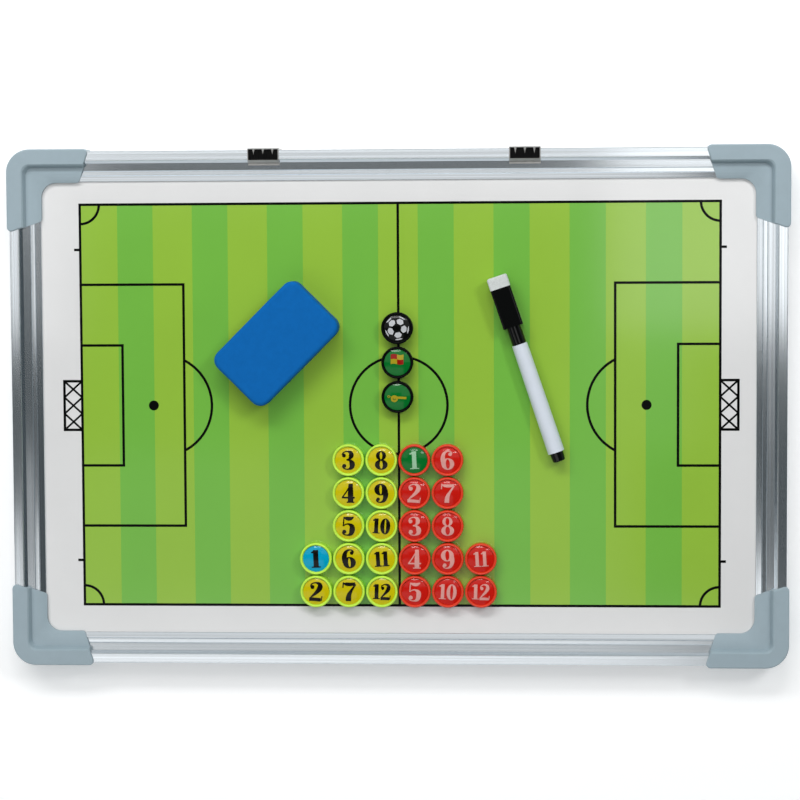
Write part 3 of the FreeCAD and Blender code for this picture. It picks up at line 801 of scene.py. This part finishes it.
def print_ball(form, low, high, paint):
    """The light six-sided patches of a football, seen from straight above a dark five-sided one.

    They are the faces of a regular body of twenty triangles with a third cut off at each corner.
    """
    ring_height = 1 / math.sqrt(5)
    ring_radius = 2 * ring_height
    start = math.radians(ball_turn) - HALF_TURN / ball_sides
    upper = []
    lower = []
    for step in range(ball_sides):
        angle = start + FULL_TURN * step / ball_sides
        upper.append(Vector((ring_radius * math.cos(angle), ring_radius * math.sin(angle), ring_height)))
        angle += HALF_TURN / ball_sides
        lower.append(Vector((ring_radius * math.cos(angle), ring_radius * math.sin(angle), -ring_height)))
    triangles = []
    for step in range(ball_sides):
        after = (step + 1) % ball_sides
        triangles.append((Vector((0, 0, 1)), upper[step], upper[after]))
        triangles.append((lower[step], upper[after], upper[step]))
    for triangle in triangles:
        middle = sum(triangle, Vector()) / 3
        corners = []
        for first, second in zip(triangle, triangle[1:] + triangle[:1]):
            corners += [first.lerp(second, 1 / 3), first.lerp(second, 2 / 3)]
        outline = []
        for first, second in zip(corners, corners[1:] + corners[:1]):
            for step in range(ball_patch_steps):
                point = first.lerp(second, step / ball_patch_steps)
                point = middle.lerp(point, ball_patch_share).normalized()
                point.z = max(point.z, 0)
                point.normalize()
                outline.append((point.x * ball_radius, point.y * ball_radius))
        form.slab(outline, low, high, paint)


def print_flag(form, low, high, paint):
    """Waving flag in four quarters of two colours."""
    for column in (0, 1):
        for row in (0, 1):
            top = []
            bottom = []
            for step in range(flag_steps + 1):
                share = (column + step / flag_steps) / 2
                x = (share - 0.5) * flag_length
                wave = flag_wave * math.sin(share * FULL_TURN)
                top.append((x, flag_rise + wave + row * flag_height / 2))
                bottom.append((x, flag_rise + wave + (row - 1) * flag_height / 2))
            form.band(top, bottom, low, high, paint + (column + row) % 2)


def print_whistle(form, low, high, paint):
    """Round whistle body with its mouthpiece, and the ring for its cord."""
    x, y = whistle_body_place
    form.band(circle(x, y, whistle_body_radius), circle(x, y, whistle_hole_radius), low, high, paint, True)
    form.slab(circle(x, y, whistle_pea_radius, dot_steps), low, high, paint)
    mouth_x = x + whistle_mouth_start[0]
    mouth_y = y + whistle_body_radius + whistle_mouth_start[1] - whistle_mouth_width
    mouth = [(mouth_x, mouth_y, whistle_mouth_width), (*whistle_mouth_end, whistle_mouth_width)]
    form.band(*stroke(mouth), low, high + layer_step, paint)
    ring_x, ring_y = whistle_ring_place
    outer = circle(ring_x, ring_y, whistle_ring_radius, dot_steps)
    inner = circle(ring_x, ring_y, whistle_ring_radius - whistle_ring_width, dot_steps)
    form.band(outer, inner, low, high, paint, True)
    link_start = (ring_x + whistle_ring_radius, ring_y)
    link_end = (x - whistle_ring_radius, y + whistle_ring_radius)
    form.band(*bar(link_start, link_end, whistle_ring_width), low, high, paint)


def dome_height(radius):
    """Height of the round dome at a distance from its middle."""
    ball = (card_radius ** 2 + dome_rise ** 2) / (2 * dome_rise)
    return dome_edge_height + dome_rise - ball + math.sqrt(ball ** 2 - radius ** 2)


def disc_profile():
    """Magnet, cup and domed face as one turned outline."""
    pocket = magnet_radius + magnet_groove_width
    rim_middle = disc_radius - disc_rim_width / 2
    rim_foot = disc_height - disc_rim_rise
    profile = [
        (0, 0, MAGNET),
        (magnet_radius, 0, MAGNET),
        (magnet_radius, magnet_groove_depth, CUP),
        (pocket, magnet_groove_depth, CUP),
        (pocket, 0, CUP),
        (disc_radius - disc_foot_chamfer, 0, CUP),
        (disc_radius - disc_wall_draft, disc_foot_chamfer, CUP),
    ]
    for step in range(rim_steps + 1):
        angle = HALF_TURN * step / rim_steps
        radius = rim_middle + disc_rim_width / 2 * math.cos(angle)
        profile.append((radius, rim_foot + disc_rim_rise * math.sin(angle), CUP))
    profile.append((card_radius, card_groove_height, FACE))
    for step in range(dome_steps + 1):
        radius = card_radius * (1 - step / dome_steps)
        profile.append((radius, dome_height(radius), FACE))
    return profile


def add_disc(name, index, materials, slot, printer):
    """One disc in its place, with its print on the domed face."""
    low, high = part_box(name)
    middle = (low + high) / 2 / MM
    disc = Form()
    disc.lathe(disc_profile())
    bare_count = len(disc.points)
    printer(disc, -print_depth, print_thickness, INK)
    disc.drape(bare_count, dome_height)
    disc.place(disc_turn * math.sin(disc_turn_step * index), middle.x, middle.y, low.z / MM)
    made = disc.piece(f"{name}_body", name, materials, slot)
    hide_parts(name)


def number_printer(number, weight):
    def printer(form, low, high, paint):
        print_number(form, number, weight, low, high, paint)
    return printer


def add_discs():
    for name in sorted(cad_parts):
        colour = name.split("_")[0]
        if colour in teams:
            number = int(name.split("_")[-1])
            card, keeper_card, digits, keeper_digits, weight = teams[colour]
            if number == keeper_number:
                card, digits = keeper_card, keeper_digits
            materials = [looks[look] for look in (f"{colour}_plastic", card, "magnet", digits)]
            add_disc(name, number, materials, f"{colour}_plastic", number_printer(str(number), weight))
    symbols = (
        ("ball_disc", print_ball, "card_black", ("symbol_white",)),
        ("flag_disc", print_flag, "card_green", ("symbol_yellow", "symbol_red")),
        ("whistle_disc", print_whistle, "card_green", ("symbol_yellow",)),
    )
    for name, printer, card, inks in symbols:
        materials = [looks[look] for look in ("disc_black", card, "magnet", *inks)]
        add_disc(name, 0, materials, "black_plastic", printer)


# Soft pieces
def uneven(point, depth, size):
    """Small shift along each axis that wanders over a size."""
    return point + noise.noise_vector(point / size) * depth


def add_eraser(face):
    low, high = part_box("eraser_foam")
    middle = (low + high) / 2 / MM
    foot = eraser_foot_round * eraser_foot_share
    side_start = eraser_foot_round
    side_end = eraser_foam_height - eraser_top_round - eraser_crown
    levels = [(eraser_foot_round, 0), (foot, foot), (0, side_start)]
    for step in range(1, eraser_side_steps):
        share = step / eraser_side_steps
        sag = eraser_side_sag * math.sin(HALF_TURN * share)
        levels.append((sag, side_start + (side_end - side_start) * share))
    for step in range(loft_steps + 1):
        angle = QUARTER_TURN * step / loft_steps
        inset = eraser_top_round * (1 - math.cos(angle))
        levels.append((inset, side_end + eraser_top_round * math.sin(angle)))
    top_span = eraser_width / 2 - eraser_top_round
    for step in range(1, loft_steps):
        share = step / loft_steps
        crown = eraser_crown * math.sin(QUARTER_TURN * share)
        levels.append((eraser_top_round + top_span * share, side_end + eraser_top_round + crown))
    block = eraser_layer(levels, face + eraser_felt_height, middle)
    made = block.piece("eraser_block", "eraser", [looks["blue_foam"]], "blue_foam", soft_edge_angle)
    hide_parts("eraser_foam")
    levels = [(eraser_felt_inset * share, height) for share, height in eraser_felt_levels]
    pad = eraser_layer(levels, face, middle)
    made = pad.piece("eraser_pad", "eraser", [looks["grey_felt"]], "grey_felt", soft_edge_angle)
    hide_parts("eraser_felt")


def eraser_layer(levels, base, middle):
    """Rounded block through (inset, height) levels, in the eraser's place."""
    base_outline = rounded_rectangle(eraser_length, eraser_width, eraser_corner_radius)
    rings = []
    for inset, height in levels:
        x_share = (eraser_length / 2 - inset) / (eraser_length / 2)
        y_share = (eraser_width / 2 - inset) / (eraser_width / 2)
        ring = []
        for x, y in base_outline:
            point = Vector((x * x_share, y * y_share, base + height))
            ring.append(uneven(point, eraser_unevenness, eraser_unevenness_size) if height else point)
        rings.append(ring)
    form = Form()
    form.loft(rings)
    form.place(eraser_turn, middle.x, middle.y, 0)
    return form


def add_marker_felt(face):
    """Felt block on the marker cap's end, with soft edges, made upright and then laid along the marker."""
    levels = [(0, felt_length * share) for share in felt_side_shares]
    for step in range(loft_steps + 1):
        angle = QUARTER_TURN * step / loft_steps
        inset = felt_edge_round * (1 - math.cos(angle))
        levels.append((inset, felt_length - felt_edge_round + felt_edge_round * math.sin(angle)))
    levels += [(felt_width * share, felt_length) for share in felt_end_shares]
    base_outline = rounded_rectangle(felt_height, felt_width, felt_edge_round)
    rings = []
    for inset, height in levels:
        ring = []
        for x, y in base_outline:
            point = Vector((x * (1 - 2 * inset / felt_height), y * (1 - 2 * inset / felt_width), height))
            ring.append(uneven(point, felt_fuzz, felt_fuzz_size) if height else point)
        rings.append(ring)
    form = Form()
    form.loft([[(height, y, felt_height / 2 - x) for x, y, height in ring] for ring in rings])
    form.place(0, marker_length / 2 - felt_length, 0, 0)
    form.place(marker_turn, *marker_place, face)
    made = form.piece("marker_felt", "capped_end", [looks["white_felt"]], "white_felt", soft_edge_angle)
    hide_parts("marker_cap_felt")


# Studio
def add_floor():
    half = floor_size / 2 * MM
    mesh = bpy.data.meshes.new("floor")
    corners = [(-half, -half, 0), (half, -half, 0), (half, half, 0), (-half, half, 0)]
    mesh.from_pydata(corners, [], [[0, 1, 2, 3]])
    material, shader = finish("floor_white", *floor_finish)
    shader.inputs["Emission Color"].default_value = (1, 1, 1, 1)
    shader.inputs["Emission Strength"].default_value = floor_glow
    mesh.materials.append(material)
    floor = bpy.data.objects.new("floor", mesh)
    bpy.context.scene.collection.objects.link(floor)


def add_surroundings():
    """Pale all round and dimmer overhead."""
    world = bpy.data.worlds.new("studio")
    world.use_nodes = True
    bpy.context.scene.world = world
    nodes = world.node_tree.nodes
    links = world.node_tree.links
    direction = nodes.new("ShaderNodeTexCoord")
    split = nodes.new("ShaderNodeSeparateXYZ")
    fade = nodes.new("ShaderNodeMapRange")
    fade.inputs["From Min"].default_value = fade_shares[0]
    fade.inputs["From Max"].default_value = fade_shares[1]
    fade.inputs["To Min"].default_value = horizon_brightness
    fade.inputs["To Max"].default_value = zenith_brightness
    links.new(direction.outputs["Generated"], split.inputs["Vector"])
    links.new(split.outputs["Z"], fade.inputs["Value"])
    links.new(fade.outputs["Result"], nodes["Background"].inputs["Strength"])
    nodes["Background"].inputs["Color"].default_value = (*surroundings_blue, 1)


def add_lights(lights, height, diffuse, glossy, receivers=None):
    """Square-edged lights that face straight down and show in matt surfaces, in glossy ones or in both."""
    for name, left, right, low, high, brightness in lights:
        light = bpy.data.lights.new(name, "AREA")
        light.shape = "RECTANGLE"
        light.size = (right - left) * MM
        light.size_y = (high - low) * MM
        light.energy = brightness * power_share * light.size * light.size_y
        lamp = bpy.data.objects.new(name, light)
        lamp.location = Vector(((left + right) / 2, (low + high) / 2, height)) * MM
        lamp.visible_camera = False
        lamp.visible_diffuse = diffuse
        lamp.visible_glossy = glossy
        lamp.light_linking.receiver_collection = receivers
        bpy.context.scene.collection.objects.link(lamp)


def add_own_lights(lights, pieces):
    """Lights a little below the others that only some pieces receive, and only as a gloss."""
    receivers = bpy.data.collections.new(f"{lights[0][0]}_receivers")
    for piece in pieces:
        receivers.objects.link(piece)
    add_lights(lights, light_height - light_drop, False, True, receivers)


def add_all_lights():
    add_lights(softboxes, light_height, True, True)
    add_lights(keys, light_height, True, False)
    symbol_discs = []
    number_discs = []
    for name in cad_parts:
        if "_disc" in name:
            group = symbol_discs if name.endswith("_disc") else number_discs
            group.append(bpy.data.objects[f"{name}_body"])
    add_own_lights(symbol_glints, symbol_discs)
    add_own_lights(number_glints, number_discs)
    add_own_lights(rail_lights, [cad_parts["bottom_rail"]])


def add_camera():
    data = bpy.data.cameras.new("camera")
    data.lens = camera_lens
    data.sensor_width = camera_sensor
    camera = bpy.data.objects.new("camera", data)
    camera.location = Vector(camera_place) * MM
    camera.rotation_euler = [math.radians(angle) for angle in camera_turn]
    bpy.context.scene.collection.objects.link(camera)
    bpy.context.scene.camera = camera


panel_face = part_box("printed_panel")[1].z / MM
noise.seed_set(unevenness_seed)
bpy.context.scene.view_settings.view_transform = "Standard"
looks = make_looks()
paint_nodes()
add_stripes(panel_face)
add_lines(panel_face)
add_discs()
add_eraser(panel_face)
add_marker_felt(panel_face)
add_floor()
add_surroundings()
add_all_lights()
add_camera()
